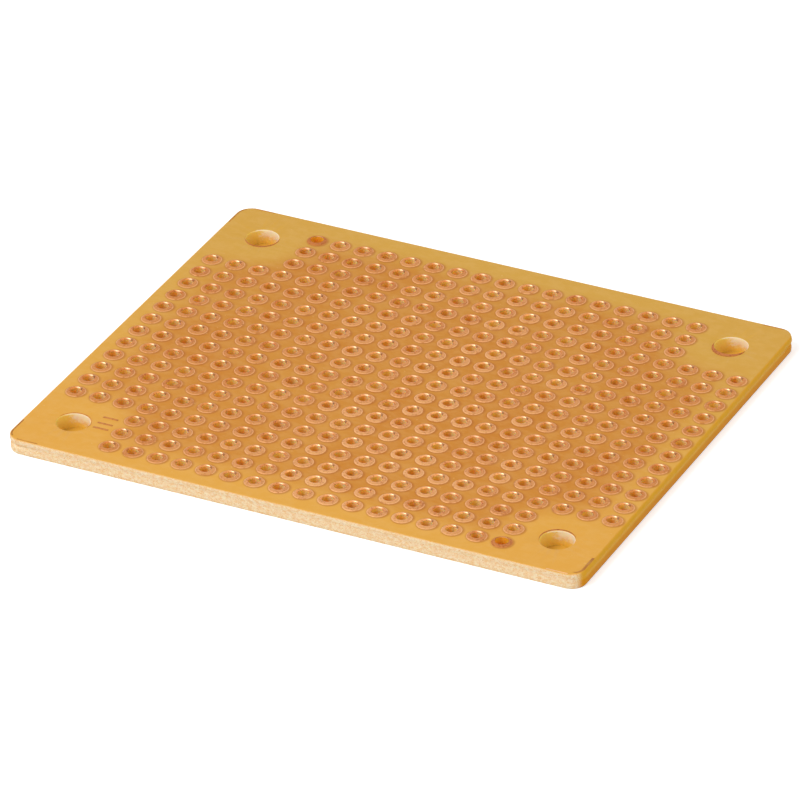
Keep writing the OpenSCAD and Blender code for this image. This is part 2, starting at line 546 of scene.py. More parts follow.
def registration_pad():
    return foil_ring("registration_pad", PAD_RIM, [
        (REGISTRATION_R + OPENING_SLOPE, TOP + FOIL),
        (REGISTRATION_R, TOP - BEDDING),
    ])


# How far the copper has tarnished, from 0 to 1. Each lead pad by chance, up to the most
TARNISH_SEED = 12
MOST_PAD_TARNISH = 0.5
REGISTRATION_TARNISH = 0.8
CRESCENT_TARNISH = 0.9
# No tarnish, so the front left crescent is pale as a painted highlight
FRONT_LEFT_HIGHLIGHT_TARNISH = 0.0
BAR_TARNISH = 0.45


def pad_rows():
    chance = random.Random(TARNISH_SEED)
    lead, registration = lead_pad(), registration_pad()
    rows = []
    for name in ROW_NAMES:
        pads = []
        for index, place in enumerate(pad_places(name)):
            special = is_registration(name, index)
            pad = copy_at(registration if special else lead, "pad", place)
            tarnish = REGISTRATION_TARNISH if special else chance.uniform(0.0, MOST_PAD_TARNISH)
            mark_each_point(pad, "tarnish", tarnish)
            pads.append(pad)
        rows.append(join(pads, "copper_" + name))
    discard(lead)
    discard(registration)
    return rows


def etched_copy(node, name):
    """A CAD foil node again, with its doubled corners merged."""
    deselect_everything()
    piece = bpy.data.objects.new(name, frame["nodes"][node].data.copy())
    piece.data.materials.clear()
    bpy.context.scene.collection.objects.link(piece)
    choose(piece)
    edit_mode()
    bpy.ops.mesh.select_mode(type="VERT")
    clean_shell()
    object_mode()
    return piece


def anywhere(place):
    return True


def is_front_left(place):
    return place.x < 0 and place.y < 0


def lies_on_front_right_rim(place):
    return place.x > 0 and place.y < -HALF_WIDTH + HIGHLIGHT_REACH


def thin_towards_holes(piece, share, test):
    """Draws the outer sides of the crescents that pass the test in towards their mounting holes."""
    for corner in piece.data.vertices:
        if not test(corner.co):
            continue
        hole = min(MOUNTING_PLACES, key=lambda place: (Vector(corner.co.xy) - place).length)
        way = Vector(corner.co.xy) - hole
        rest = MOUNTING_R + MOUNTING_DISH_WIDTH
        if way.length > rest:
            way *= (rest + share * (way.length - rest)) / way.length
            corner.co.xy = hole + way


def etch_upper_edges(piece):
    """Gives a piece of foil sloping sides, as etching leaves them."""
    choose(piece)
    edit_mode()
    bpy.ops.mesh.select_all(action="SELECT")
    bpy.ops.mesh.dissolve_limited(angle_limit=math.radians(FLAT_CREASE))
    select_edges(lambda edge: lies_at(edge, TOP + FOIL))
    bpy.ops.mesh.bevel(offset=MARK_SLOPE, segments=1, affect="EDGES")
    object_mode()


# ---------------------------------------------------------------- node helpers

class Finish:
    """A material, with short ways to add its nodes. Positions on the piece are in millimetres."""

    def __init__(self, name):
        self.material = bpy.data.materials.new(name)
        self.material.use_nodes = True
        self.tree = self.material.node_tree
        self.tree.nodes.clear()
        self.shader = self.node("ShaderNodeBsdfPrincipled")
        self.output = self.node("ShaderNodeOutputMaterial")
        self.link(self.shader.outputs["BSDF"], self.output.inputs["Surface"])
        place = self.node("ShaderNodeTexCoord").outputs["Object"]
        self.place = self.vector("MULTIPLY", place, (1 / MM, 1 / MM, 1 / MM))
        axes = self.node("ShaderNodeSeparateXYZ")
        self.link(self.place, axes.inputs[0])
        self.x, self.y, self.z = axes.outputs

    def node(self, kind):
        return self.tree.nodes.new(kind)

    def link(self, source, socket):
        self.tree.links.new(source, socket)

    def feed(self, socket, value):
        if isinstance(value, bpy.types.NodeSocket):
            self.link(value, socket)
        else:
            socket.default_value = value

    def vector(self, operation, first, second=(0, 0, 0)):
        node = self.node("ShaderNodeVectorMath")
        node.operation = operation
        self.feed(node.inputs[0], first)
        self.feed(node.inputs[1], second)
        gives_number = operation in ("LENGTH", "DOT_PRODUCT")
        return node.outputs["Value" if gives_number else "Vector"]

    def math(self, operation, first, second=0.0):
        node = self.node("ShaderNodeMath")
        node.operation = operation
        self.feed(node.inputs[0], first)
        self.feed(node.inputs[1], second)
        return node.outputs[0]

    def times(self, first, second):
        return self.math("MULTIPLY", first, second)

    def plus(self, first, second):
        return self.math("ADD", first, second)

    def minus(self, first, second):
        return self.math("SUBTRACT", first, second)

    def absolute(self, value):
        return self.math("ABSOLUTE", value)

    def along(self, way, direction):
        """How far a way goes in a plan direction."""
        return self.vector("DOT_PRODUCT", way, (*direction, 0))

    def rise(self, value, start, end):
        """0 where value is start, 1 where it is end, and smooth between them."""
        node = self.node("ShaderNodeMapRange")
        node.interpolation_type = "SMOOTHSTEP"
        self.feed(node.inputs["Value"], value)
        node.inputs["From Min"].default_value = start
        node.inputs["From Max"].default_value = end
        return node.outputs["Result"]

    def noise(self, pattern, stretch=(1, 1, 1)):
        """Noise of a pattern, which is its scale, detail and roughness."""
        node = self.node("ShaderNodeTexNoise")
        for name, value in zip(("Scale", "Detail", "Roughness"), pattern):
            node.inputs[name].default_value = value
        self.link(self.vector("MULTIPLY", self.place, stretch), node.inputs["Vector"])
        return node.outputs["Fac"]

    def wander(self, noise, mean, width):
        """How far noise moves a border back and forth."""
        return self.times(self.minus(noise, mean), width)

    def mix(self, share, first, second):
        node = self.node("ShaderNodeMix")
        node.data_type = "RGBA"
        self.feed(node.inputs["Factor"], share)
        first_socket, second_socket = [
            socket for socket in node.inputs if socket.type == "RGBA"
        ]
        self.feed(first_socket, first)
        self.feed(second_socket, second)
        return [socket for socket in node.outputs if socket.type == "RGBA"][0]

    def bump(self, height, distance, strength):
        node = self.node("ShaderNodeBump")
        node.inputs["Strength"].default_value = strength
        node.inputs["Distance"].default_value = distance
        self.link(height, node.inputs["Height"])
        self.link(node.outputs["Normal"], self.shader.inputs["Normal"])

    def set(self, **values):
        for name, value in values.items():
            self.feed(self.shader.inputs[name.replace("_", " ").title()], value)

    def attribute(self, name):
        node = self.node("ShaderNodeAttribute")
        node.attribute_name = name
        return node.outputs["Fac"]


def colour(red, green, blue):
    return (red, green, blue, 1.0)


# ---------------------------------------------------------------- where a point lies, for finishes

# The pad grid in millimetres: its middle, and how far it reaches in all rows and in the short rows
GRID_MIDDLE = Vector((
    (FIELD_LEFT + FIELD_RIGHT) / 2, (row_centre(FRONT_ROW) + row_centre(BACK_ROW)) / 2
)) / MM
ROW_LENGTHS = [len(pad_places(name)) for name in ROW_NAMES]
GRID_REACH_X = max(ROW_LENGTHS) * PITCH / MM / 2
GRID_REACH_Y = len(ROW_NAMES) * PITCH / MM / 2
SHORT_ROW_REACH = min(ROW_LENGTHS) * PITCH / MM / 2
LONG_ROWS_REACH = ROW_LENGTHS.count(max(ROW_LENGTHS)) * PITCH / MM / 2
PAD_RADIUS = PAD_R / MM
PITCH_MM = PITCH / MM

# The margins in millimetres: bare this far in from the ends, the long sides and a mounting hole's
# axis, and gone where the field begins
END_MARGIN = 0.5
SIDE_MARGIN = 1.5
FIELD_BEGINS = 6
HOLE_MARGIN = 3.0
FIELD_FROM_HOLE = 8.0


def from_pad_centre(finish, shift_x=0.0, shift_y=0.0):
    """The way in plan, in millimetres, from the middle of the pad that each point belongs to."""
    corner_x = GRID_MIDDLE.x - GRID_REACH_X + shift_x
    corner_y = GRID_MIDDLE.y - GRID_REACH_Y + shift_y
    steps = finish.vector(
        "MULTIPLY", finish.vector("SUBTRACT", finish.place, (corner_x, corner_y, 0)),
        (1 / PITCH_MM, 1 / PITCH_MM, 0),
    )
    inside = finish.vector("SUBTRACT", finish.vector("FRACTION", steps), (0.5, 0.5, 0))
    return finish.vector("MULTIPLY", inside, (PITCH_MM, PITCH_MM, 0))


def from_hole_axis(finish):
    """The way in plan, in millimetres, from the axis of the hole that each point belongs to."""
    axis_x, axis_y = PUNCH_OFFSET / MM
    return from_pad_centre(finish, axis_x, axis_y)


def has_pads(finish):
    """1 over the squares of the grid that hold a pad, and 0 elsewhere."""
    away_x = finish.absolute(finish.minus(finish.x, GRID_MIDDLE.x))
    away_y = finish.absolute(finish.minus(finish.y, GRID_MIDDLE.y))
    on_grid = finish.times(
        finish.math("LESS_THAN", away_x, GRID_REACH_X),
        finish.math("LESS_THAN", away_y, GRID_REACH_Y),
    )
    left_out = finish.times(
        finish.math("GREATER_THAN", away_x, SHORT_ROW_REACH),
        finish.math("GREATER_THAN", away_y, LONG_ROWS_REACH),
    )
    return finish.minus(on_grid, finish.times(on_grid, left_out))


def from_mounting_hole(finish):
    """The way in plan, in millimetres, from the axis of the mounting hole in the same corner."""
    corner = finish.vector("SIGN", finish.place)
    place = MOUNTING_PLACES[0]
    axis = finish.vector("MULTIPLY", corner, (abs(place.x) / MM, abs(place.y) / MM, 0))
    return finish.vector("SUBTRACT", finish.vector("MULTIPLY", finish.place, (1, 1, 0)), axis)


def field_share(finish):
    """1 in the middle of the pad field, 0 on the bare margins and around the mounting holes."""
    end, side = HALF_LENGTH / MM, HALF_WIDTH / MM
    across = finish.rise(finish.absolute(finish.x), end - END_MARGIN, end - FIELD_BEGINS)
    along = finish.rise(finish.absolute(finish.y), side - SIDE_MARGIN, side - FIELD_BEGINS)
    away = finish.vector("LENGTH", from_mounting_hole(finish))
    around = finish.rise(away, HOLE_MARGIN, FIELD_FROM_HOLE)
    return finish.times(finish.times(across, along), around)


# ---------------------------------------------------------------- the laminate's finishes

MARGIN_AMBER = colour(0.78, 0.385, 0.057)
BACK_MARGIN_AMBER = colour(0.67, 0.365, 0.055)
# The field between the pads is darker than the margins: partly stained resin, partly painted shade
# from the pads
FIELD_STAIN_AND_SHADE_AMBER = colour(0.585, 0.200, 0.017)
# Painted shadow of the pads on the resin
PAD_SHADOW_AMBER = colour(0.44, 0.120, 0.016)
SPECK_PALE = colour(0.86, 0.56, 0.22)
CREAM = colour(0.90, 0.60, 0.31)
# Pale streaks in the fibre, and the painted light on mounting hole walls
CREAM_PALE_AND_LIT = colour(0.96, 0.79, 0.54)
CREAM_DARK = colour(0.82, 0.46, 0.18)
END_PALE = colour(0.76, 0.385, 0.030)
END_AMBER = colour(0.73, 0.290, 0.010)
END_BROWN = colour(0.36, 0.14, 0.010)
HOLE_ORANGE = colour(1.0, 0.58, 0.10)
HOLE_BROWN = colour(0.86, 0.40, 0.055)
# Painted light on the lit side of a lead hole's wall
HOLE_LIT_TAN = colour(0.97, 0.66, 0.27)
REGISTRATION_ORANGE = colour(1.0, 0.47, 0.035)
# Painted shade on the unlit side of a mounting hole's wall
SHADED_WALL_AMBER = colour(0.92, 0.62, 0.12)

# Everything but the clean foil shines only softly, and the edge bends light less than the rest
SOFT_GLOSS = 0.1
EDGE_IOR = 1.2

# How red, green and blue light spread inside the resin, and how far
LIGHT_SPREAD = (1.0, 0.6, 0.15)
LIGHT_REACH = 0.8 * MM
EDGE_LIGHT = 0.1
LEAD_WALL_LIGHT = 0.6
MOUNTING_WALL_LIGHT = 0.3

# Here and below: a pattern is its noise's scale, detail and roughness; a range is where a change
# begins and where it is whole; a share is how strong the change is; and a relief is the bump's
# distance and strength
CLOUD_PATTERN = (0.12, 3.0, 0.55)
CLOUD_RANGE = (-0.5, 1.0)
FLECK_PATTERN = (2.6, 1.0, 0.5)
FLECK_RANGE = (0.74, 0.80)
FLECK_SHARE = 0.3
WEAVE_PATTERN = (0.9, 3.0, 0.6)
WEAVE_STRETCH = (1.0, 1.6, 1.0)
WEAVE_RANGE = (0.35, 0.7)
WEAVE_SHARE = 0.12
SKIN_ROUGHNESS = 0.30
CLOUD_ROUGHNESS = 0.15
SKIN_PATTERN = (1.1, 3.0, 0.6)
SKIN_RELIEF = (0.01 * MM, 0.6)

# A painted shadow: the darker ring around a pad, which lies a little to one side of it, in
# millimetres
PAD_SHADOW_SHIFT = (0.10, -0.03)
PAD_SHADOW_RANGE = (PAD_RADIUS + 0.26, PAD_RADIUS - 0.04)
PAD_SHADOW_SHARE = 0.65


def lets_light_in(finish, weight):
    """Light spreads inside the resin, and comes out redder the further it went."""
    finish.shader.inputs["Subsurface Weight"].default_value = weight
    finish.shader.inputs["Subsurface Radius"].default_value = LIGHT_SPREAD
    finish.shader.inputs["Subsurface Scale"].default_value = LIGHT_REACH


def resin_skin():
    """The smooth amber resin face of the laminate."""
    finish = Finish("phenolic_resin_skin")
    cloud = finish.noise(CLOUD_PATTERN)
    # Darker amber over the pad field: stain, and painted shade between the pads
    share = finish.times(field_share(finish), finish.rise(cloud, *CLOUD_RANGE))
    back = finish.rise(finish.y, -HALF_WIDTH / MM, HALF_WIDTH / MM)
    amber = finish.mix(share, finish.mix(back, MARGIN_AMBER, BACK_MARGIN_AMBER), FIELD_STAIN_AND_SHADE_AMBER)
    # Painted shadow of each pad, offset a little to one side
    away = finish.vector("LENGTH", from_pad_centre(finish, *PAD_SHADOW_SHIFT))
    pad_shadow = finish.times(finish.rise(away, *PAD_SHADOW_RANGE), has_pads(finish))
    amber = finish.mix(finish.times(pad_shadow, PAD_SHADOW_SHARE), amber, PAD_SHADOW_AMBER)
    fleck = finish.rise(finish.noise(FLECK_PATTERN), *FLECK_RANGE)
    amber = finish.mix(finish.times(fleck, FLECK_SHARE), amber, SPECK_PALE)
    weave = finish.rise(finish.noise(WEAVE_PATTERN, WEAVE_STRETCH), *WEAVE_RANGE)
    amber = finish.mix(finish.times(weave, WEAVE_SHARE), amber, SPECK_PALE)
    roughness = finish.plus(SKIN_ROUGHNESS, finish.times(cloud, CLOUD_ROUGHNESS))
    finish.set(base_color=amber, roughness=roughness)
    finish.shader.inputs["Specular IOR Level"].default_value = SOFT_GLOSS
    finish.bump(finish.noise(SKIN_PATTERN), *SKIN_RELIEF)
    return finish.material


# The fibre's grain is its streaks and some of its specks
STREAK_PATTERN = (2.2, 4.0, 0.7)
STREAK_RANGE = (0.38, 0.62)
SPECK_PATTERN = (7.0, 2.0, 0.6)
SPECK_RANGE = (0.54, 0.70)
SPECK_IN_GRAIN = 0.6
NOISE_MEAN = 0.5
GRAIN_MEAN = 0.8
PLY_STRETCH = (1.0, 1.0, 1.6)


def fibre(finish):
    """Cream paper fibre, speckled and streaked along the plies, and its grain."""
    streak = finish.noise(STREAK_PATTERN, PLY_STRETCH)
    speck = finish.noise(SPECK_PATTERN, PLY_STRETCH)
    cream = finish.mix(finish.rise(streak, *STREAK_RANGE), CREAM, CREAM_PALE_AND_LIT)
    cream = finish.mix(finish.rise(speck, *SPECK_RANGE), cream, CREAM_DARK)
    return cream, finish.plus(streak, finish.times(speck, SPECK_IN_GRAIN))


# The edge, in millimetres: where it turns from a long side to an end around the corner's middle,
# and the heights at which its pale upper part, its brown foot and its amber rim begin
EDGE_WANDER = 1.2
HEIGHT_WANDER = 0.2
TURN_RANGE = (-0.3, 0.9)
PALE_HEIGHTS = (0.7, 0.9)
FOOT_HEIGHTS = (0.16, 0.02)
RIM_HEIGHTS = (1.46, 1.62)
RIM_SHARE = 0.9
SIDE_ROUGHNESS = 0.6
END_SMOOTHNESS = 0.3
EDGE_RELIEF = (0.02 * MM, 0.6)


def punched_edge():
    """Fibre along the long sides, which turns into smooth amber at the ends."""
    finish = Finish("phenolic_punched_edge")
    cream, grain = fibre(finish)
    mottle = finish.wander(grain, GRAIN_MEAN, EDGE_WANDER)
    past_x = finish.minus(finish.absolute(finish.x), (HALF_LENGTH - CORNER_R) / MM)
    past_y = finish.minus(finish.absolute(finish.y), (HALF_WIDTH - CORNER_R) / MM)
    at_end = finish.rise(finish.plus(finish.minus(past_x, past_y), mottle), *TURN_RANGE)
    height = finish.plus(finish.z, finish.times(mottle, HEIGHT_WANDER))
    end = finish.mix(finish.rise(height, *PALE_HEIGHTS), END_AMBER, END_PALE)
    end = finish.mix(finish.rise(finish.z, *FOOT_HEIGHTS), end, END_BROWN)
    edge = finish.mix(at_end, cream, end)
    rim = finish.times(finish.rise(height, *RIM_HEIGHTS), RIM_SHARE)
    edge = finish.mix(rim, edge, MARGIN_AMBER)
    roughness = finish.minus(SIDE_ROUGHNESS, finish.times(at_end, END_SMOOTHNESS))
    finish.set(base_color=edge, roughness=roughness)
    finish.shader.inputs["Specular IOR Level"].default_value = SOFT_GLOSS
    finish.shader.inputs["IOR"].default_value = EDGE_IOR
    lets_light_in(finish, EDGE_LIGHT)
    finish.bump(grain, *EDGE_RELIEF)
    return finish.material


# A lead hole's wall: painted light makes it tan on the side that lies in this direction, and the
# resin soaks it in patches
LEAD_GRAIN_PATTERN = (4.0, 3.0, 0.65)
LIT_WALL_DIRECTION = (1.05, 1.25)
LIT_WALL_WANDER = 1.2
LIT_WALL_RANGE = (0.15, 0.9)
SOAKED_PATTERN = (0.45, 1.0, 0.5)
SOAKED_RANGE = (0.35, 0.65)
LEAD_WALL_ROUGHNESS = 0.5
LEAD_WALL_RELIEF = (0.02 * MM, 0.7)


def hole_wall():
    """The wall of a lead hole: resin-soaked orange fibre, with painted light making it tan on one
    side.
    """
    finish = Finish("phenolic_hole_wall")
    grain = finish.noise(LEAD_GRAIN_PATTERN)
    # Painted light on the side of the wall that faces the lamp
    lit_wall = finish.along(from_hole_axis(finish), LIT_WALL_DIRECTION)
    lit_wall = finish.plus(lit_wall, finish.wander(grain, NOISE_MEAN, LIT_WALL_WANDER))
    soaked = finish.rise(finish.noise(SOAKED_PATTERN), *SOAKED_RANGE)
    wall = finish.mix(soaked, HOLE_ORANGE, HOLE_BROWN)
    wall = finish.mix(finish.rise(lit_wall, *LIT_WALL_RANGE), wall, HOLE_LIT_TAN)
    wall = finish.mix(finish.attribute("registration"), wall, REGISTRATION_ORANGE)
    finish.set(base_color=wall, roughness=LEAD_WALL_ROUGHNESS)
    finish.shader.inputs["Specular IOR Level"].default_value = SOFT_GLOSS
    lets_light_in(finish, LEAD_WALL_LIGHT)
    finish.bump(grain, *LEAD_WALL_RELIEF)
    return finish.material


# A mounting hole's wall: painted light makes the side that lies in this direction cream, paler the
# higher it is, with a painted highlight along its rim, and the other side amber as painted shade.
# Heights are in millimetres
LIT_SIDE_DIRECTION = (0.38, 0.50)
LIT_SIDE_WANDER = 1.1
LIT_SIDE_RANGE = (0.15, 0.65)
LIT_SIDE_HEIGHTS = (0.3, 1.0)
LIT_SIDE_HEIGHT_WANDER = 0.8
LIT_FIBRE_HEIGHTS = (0.5, 1.4)
RIM_HIGHLIGHT_HEIGHTS = (1.44, 1.52)
RIM_HIGHLIGHT_RANGE = (-0.3, 0.4)
MOUNTING_WALL_ROUGHNESS = 0.55
MOUNTING_WALL_RELIEF = (0.03 * MM, 0.7)


def mounting_wall():
    """A mounting hole's wall: cream fibre under painted light on one side, amber painted shade on
    the other.
    """
    finish = Finish("phenolic_mounting_wall")
    cream, grain = fibre(finish)
    # Painted light on the side that faces the lamp
    lit_side = finish.along(from_mounting_hole(finish), LIT_SIDE_DIRECTION)
    lit_side = finish.plus(lit_side, finish.wander(grain, GRAIN_MEAN, LIT_SIDE_WANDER))
    height = finish.plus(finish.z, finish.wander(grain, GRAIN_MEAN, LIT_SIDE_HEIGHT_WANDER))
    cream = finish.mix(finish.rise(finish.z, *LIT_FIBRE_HEIGHTS), cream, CREAM_PALE_AND_LIT)
    share = finish.times(finish.rise(lit_side, *LIT_SIDE_RANGE), finish.rise(height, *LIT_SIDE_HEIGHTS))
    wall = finish.mix(share, SHADED_WALL_AMBER, cream)
    # Painted highlight along the rim on the lit side
    rim_highlight = finish.rise(finish.z, *RIM_HIGHLIGHT_HEIGHTS)
    wall = finish.mix(finish.times(rim_highlight, finish.rise(lit_side, *RIM_HIGHLIGHT_RANGE)), wall, CREAM_PALE_AND_LIT)
    finish.set(base_color=wall, roughness=MOUNTING_WALL_ROUGHNESS)
    finish.shader.inputs["Specular IOR Level"].default_value = SOFT_GLOSS
    lets_light_in(finish, MOUNTING_WALL_LIGHT)
    finish.bump(grain, *MOUNTING_WALL_RELIEF)
    return finish.material


# ---------------------------------------------------------------- the copper's finishes

COPPER = colour(0.70, 0.285, 0.075)
COPPER_SHEEN = colour(0.86, 0.44, 0.17)
COPPER_HIGHLIGHT = colour(0.92, 0.54, 0.28)
COPPER_LIP_HIGHLIGHT = colour(0.76, 0.43, 0.24)
COPPER_TARNISHED = colour(0.42, 0.14, 0.045)
COPPER_BROWN = colour(0.58, 0.25, 0.048)
COPPER_DARK_REFLECTION = colour(0.15, 0.085, 0.045)

# Where a painted reflection of the lamp makes the foil palest, in millimetres from the board's
# middle line, how far that reaches to both sides, and the share of it at the back
SHEEN_MIDDLE = 4.0
SHEEN_REACH = 26.0
SHEEN_AT_BACK = 0.4
DRIFT_PATTERN = (0.09, 2.0, 0.5)
DRIFT_RANGE = (0.3, 0.7)
DRIFT_WIDTH = 0.3

# What reddens the foil: stains, painted shade on the side of each pad that lies in a direction, and
# its own tarnish
STAIN_PATTERN = (4.5, 3.0, 0.7)
STAIN_RANGE = (0.48, 0.64)
STAIN_SHARE = 0.42
SHADED_DIRECTION = (0.85, 0.3)
SHADED_RANGE = (-0.5, 1.0)
SHADED_SHARE = 0.15
TARNISH_SHARE = 0.6

# The etched rim of a pad, in millimetres from its middle. It carries a painted highlight in
# patches, on pads that haven't tarnished
RIM_RANGE = (PAD_RADIUS - 0.13, PAD_RADIUS - 0.08)
RIM_PATTERN = (1.3, 2.0, 0.6)
RIM_PATCHES = (0.33, 0.47)
RIM_TARNISH = (0.8, 0.5)
RIM_HIGHLIGHT_SHARE = 0.45

# The lip that is drawn into a hole, in millimetres from the hole's axis: a painted highlight on the
# far side, and beside that, on the least tarnished pads, a black spot of painted dark reflection
LIP_RANGE = (LEAD_R / MM + 0.16, LEAD_R / MM + 0.08)
LIT_DIRECTION = (0.0, 1.0)
LIT_RANGE = (0.49, 0.60)
DARK_SPOT_DIRECTION = (0.62, 0.78)
DARK_SPOT_RANGE = (0.52, 0.57)
DARK_SPOT_SIDE = (0.78, -0.62)
DARK_SPOT_END = (0.20, 0.08)
DARK_SPOT_TARNISH = (0.30, 0.22)
DARK_SPOT_SHARE = 0.65

FOIL_ROUGHNESS = 0.32
TARNISH_ROUGHNESS = 0.4
STAIN_ROUGHNESS = 0.12
LIP_ROUGHNESS = 0.2
FOIL_PATTERN = (5.0, 2.0, 0.6)
FOIL_RELIEF = (0.012 * MM, 0.8)


def copper_foil():
    """Bare foil: mottled, palest in the middle of the front by a painted reflection, with painted
    highlights on its rims and lips and painted shade on one side of each pad, redder where it has
    tarnished.
    """
    finish = Finish("etched_copper")
    on_pads = has_pads(finish)
    own = finish.attribute("tarnish")
    drift = finish.rise(finish.noise(DRIFT_PATTERN), *DRIFT_RANGE)
    # Painted reflection: paler towards the front and the middle, with a random drift in tone
    forward = finish.rise(finish.y, HALF_WIDTH / MM, -HALF_WIDTH / MM)
    middle = finish.rise(finish.absolute(finish.minus(finish.x, SHEEN_MIDDLE)), SHEEN_REACH, 0)
    pale = finish.plus(SHEEN_AT_BACK, finish.times(forward, 1 - SHEEN_AT_BACK))
    pale = finish.plus(finish.times(middle, pale), finish.wander(drift, NOISE_MEAN, DRIFT_WIDTH))
    metal = finish.mix(pale, COPPER, COPPER_SHEEN)

    way = from_pad_centre(finish)
    stain = finish.rise(finish.noise(STAIN_PATTERN), *STAIN_RANGE)
    # Painted shade on one side of each pad
    shaded = finish.rise(finish.along(way, SHADED_DIRECTION), *SHADED_RANGE)
    wear_and_shade = finish.plus(finish.times(stain, STAIN_SHARE), finish.times(shaded, SHADED_SHARE))
    wear_and_shade = finish.plus(wear_and_shade, finish.times(own, TARNISH_SHARE))
    metal = finish.mix(wear_and_shade, metal, COPPER_TARNISHED)

    # Painted highlight along the etched rim
    rim = finish.times(finish.rise(finish.vector("LENGTH", way), *RIM_RANGE), on_pads)
    rim = finish.times(rim, finish.rise(own, *RIM_TARNISH))
    patches = finish.rise(finish.noise(RIM_PATTERN), *RIM_PATCHES)
    rim_highlight_metal = finish.mix(patches, COPPER_TARNISHED, COPPER_HIGHLIGHT)
    metal = finish.mix(finish.times(rim, RIM_HIGHLIGHT_SHARE), metal, rim_highlight_metal)

    drawn = from_hole_axis(finish)
    lip = finish.times(finish.rise(finish.vector("LENGTH", drawn), *LIP_RANGE), on_pads)
    # Painted highlight on the lip's far side
    lit = finish.times(lip, finish.rise(finish.along(drawn, LIT_DIRECTION), *LIT_RANGE))
    metal = finish.mix(lit, metal, COPPER_LIP_HIGHLIGHT)
    # Painted dark reflection beside the highlight
    dark_spot = finish.rise(finish.along(drawn, DARK_SPOT_DIRECTION), *DARK_SPOT_RANGE)
    dark_spot = finish.times(dark_spot, finish.rise(finish.along(drawn, DARK_SPOT_SIDE), *DARK_SPOT_END))
    dark_spot = finish.times(finish.times(dark_spot, lip), finish.rise(own, *DARK_SPOT_TARNISH))
    metal = finish.mix(finish.times(dark_spot, DARK_SPOT_SHARE), metal, COPPER_DARK_REFLECTION)

    dull = finish.plus(finish.times(own, TARNISH_ROUGHNESS), finish.times(stain, STAIN_ROUGHNESS))
    dull = finish.plus(dull, finish.times(finish.minus(lip, lit), LIP_ROUGHNESS))
    finish.set(base_color=metal, roughness=finish.plus(FOIL_ROUGHNESS, dull))
    finish.shader.inputs["Metallic"].default_value = 1.0
    finish.bump(finish.noise(FOIL_PATTERN), *FOIL_RELIEF)
    return finish.material


# The oxide on the remnants of foil
OXIDE_PATTERN = (1.4, 3.0, 0.6)
OXIDE_RANGE = (0.35, 0.65)
OXIDE_SHARE = 0.5
REMNANT_ROUGHNESS = 0.4
OXIDE_ROUGHNESS = 0.2
REMNANT_METALLIC = 0.4
REMNANT_RELIEF = (0.006 * MM, 0.6)


def copper_remnant():
    """Slivers of foil left along a punched rim: thin, brown with oxide, and painted with a
    highlight along the front right rim.
    """
    finish = Finish("torn_copper")
    oxide = finish.rise(finish.noise(OXIDE_PATTERN), *OXIDE_RANGE)
    metal = finish.mix(finish.times(oxide, OXIDE_SHARE), COPPER_BROWN, COPPER_TARNISHED)
    # Painted highlight on the points marked bright
    metal = finish.mix(finish.attribute("bright"), metal, COPPER_HIGHLIGHT)
    roughness = finish.plus(REMNANT_ROUGHNESS, finish.times(oxide, OXIDE_ROUGHNESS))
    finish.set(base_color=metal, roughness=roughness)
    finish.shader.inputs["Metallic"].default_value = REMNANT_METALLIC
    finish.shader.inputs["Specular IOR Level"].default_value = SOFT_GLOSS
    finish.bump(finish.noise(FOIL_PATTERN), *REMNANT_RELIEF)
    return finish.material


# ---------------------------------------------------------------- making the pieces

# The laminate's finishes, in the order in which it gets them
SKIN, EDGE, LEAD_WALL, MOUNTING_WALL = range(4)

# Faces whose normal stands more upright than this are skin, and the rest are walls. A wall within
# this distance of a mounting hole's edge is that hole's
LEVEL = 0.9
WALL_REACH = 0.3 * MM


def finish_of(centre, normal):
    """Which of the laminate's four finishes a face has."""
    if abs(normal.z) > LEVEL:
        return SKIN
    if from_outline(centre)[0] < EDGE_DEPTH:
        return EDGE
    near = min((Vector(centre.xy) - place).length for place in MOUNTING_PLACES)
    return MOUNTING_WALL if near < MOUNTING_R + WALL_REACH else LEAD_WALL


def make_laminate():
    board = laminate_shape()
    relax_edge(board)
    for material in (resin_skin(), punched_edge(), hole_wall(), mounting_wall()):
        board.data.materials.append(material)
    for face in board.data.polygons:
        face.material_index = finish_of(face.center, face.normal)
    soften_normals(board, LAMINATE_CREASE)
    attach(board, "root")
    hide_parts("laminate")


def finish_copper(piece, node, metal):
    piece.data.materials.append(metal)
    soften_normals(piece, COPPER_CREASE)
    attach(piece, "root")
    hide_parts(node)


def make_copper():
    foil, remnant = copper_foil(), copper_remnant()
    for piece, node in zip(pad_rows(), ROW_NAMES):
        finish_copper(piece, node, foil)

    crescents = etched_copy("mounting_hole_lands", "copper_land_crescents")
    thin_towards_holes(crescents, CRESCENT_SHARE, anywhere)
    thin_towards_holes(crescents, FRONT_LEFT_SHARE, is_front_left)
    mark_each_point(crescents, "tarnish", CRESCENT_TARNISH)
    mark_points_where(crescents, "tarnish", FRONT_LEFT_HIGHLIGHT_TARNISH, is_front_left)
    finish_copper(crescents, "mounting_hole_lands", foil)

    bars = etched_copy("index_bars", "copper_index_bars")
    etch_upper_edges(bars)
    mark_each_point(bars, "tarnish", BAR_TARNISH)
    finish_copper(bars, "index_bars", foil)

    marks = etched_copy("corner_marks", "copper_corner_marks")
    etch_upper_edges(marks)
    mark_each_point(marks, "bright", 0.0)
    # Painted highlight along the front right rim
    mark_points_where(marks, "bright", 1.0, lies_on_front_right_rim)
    finish_copper(marks, "corner_marks", remnant)


# ---------------------------------------------------------------- the studio

CAMERA_AZIMUTH = 26.67
CAMERA_ELEVATION = 30.47
CAMERA_ROLL = -0.94
CAMERA_DISTANCE = 0.7067
CAMERA_LENS = 337.5
CAMERA_SENSOR = 36
CAMERA_NEAR = 0.01
CAMERA_TARGET = Vector((0.94, -2.94, 1.6)) * MM

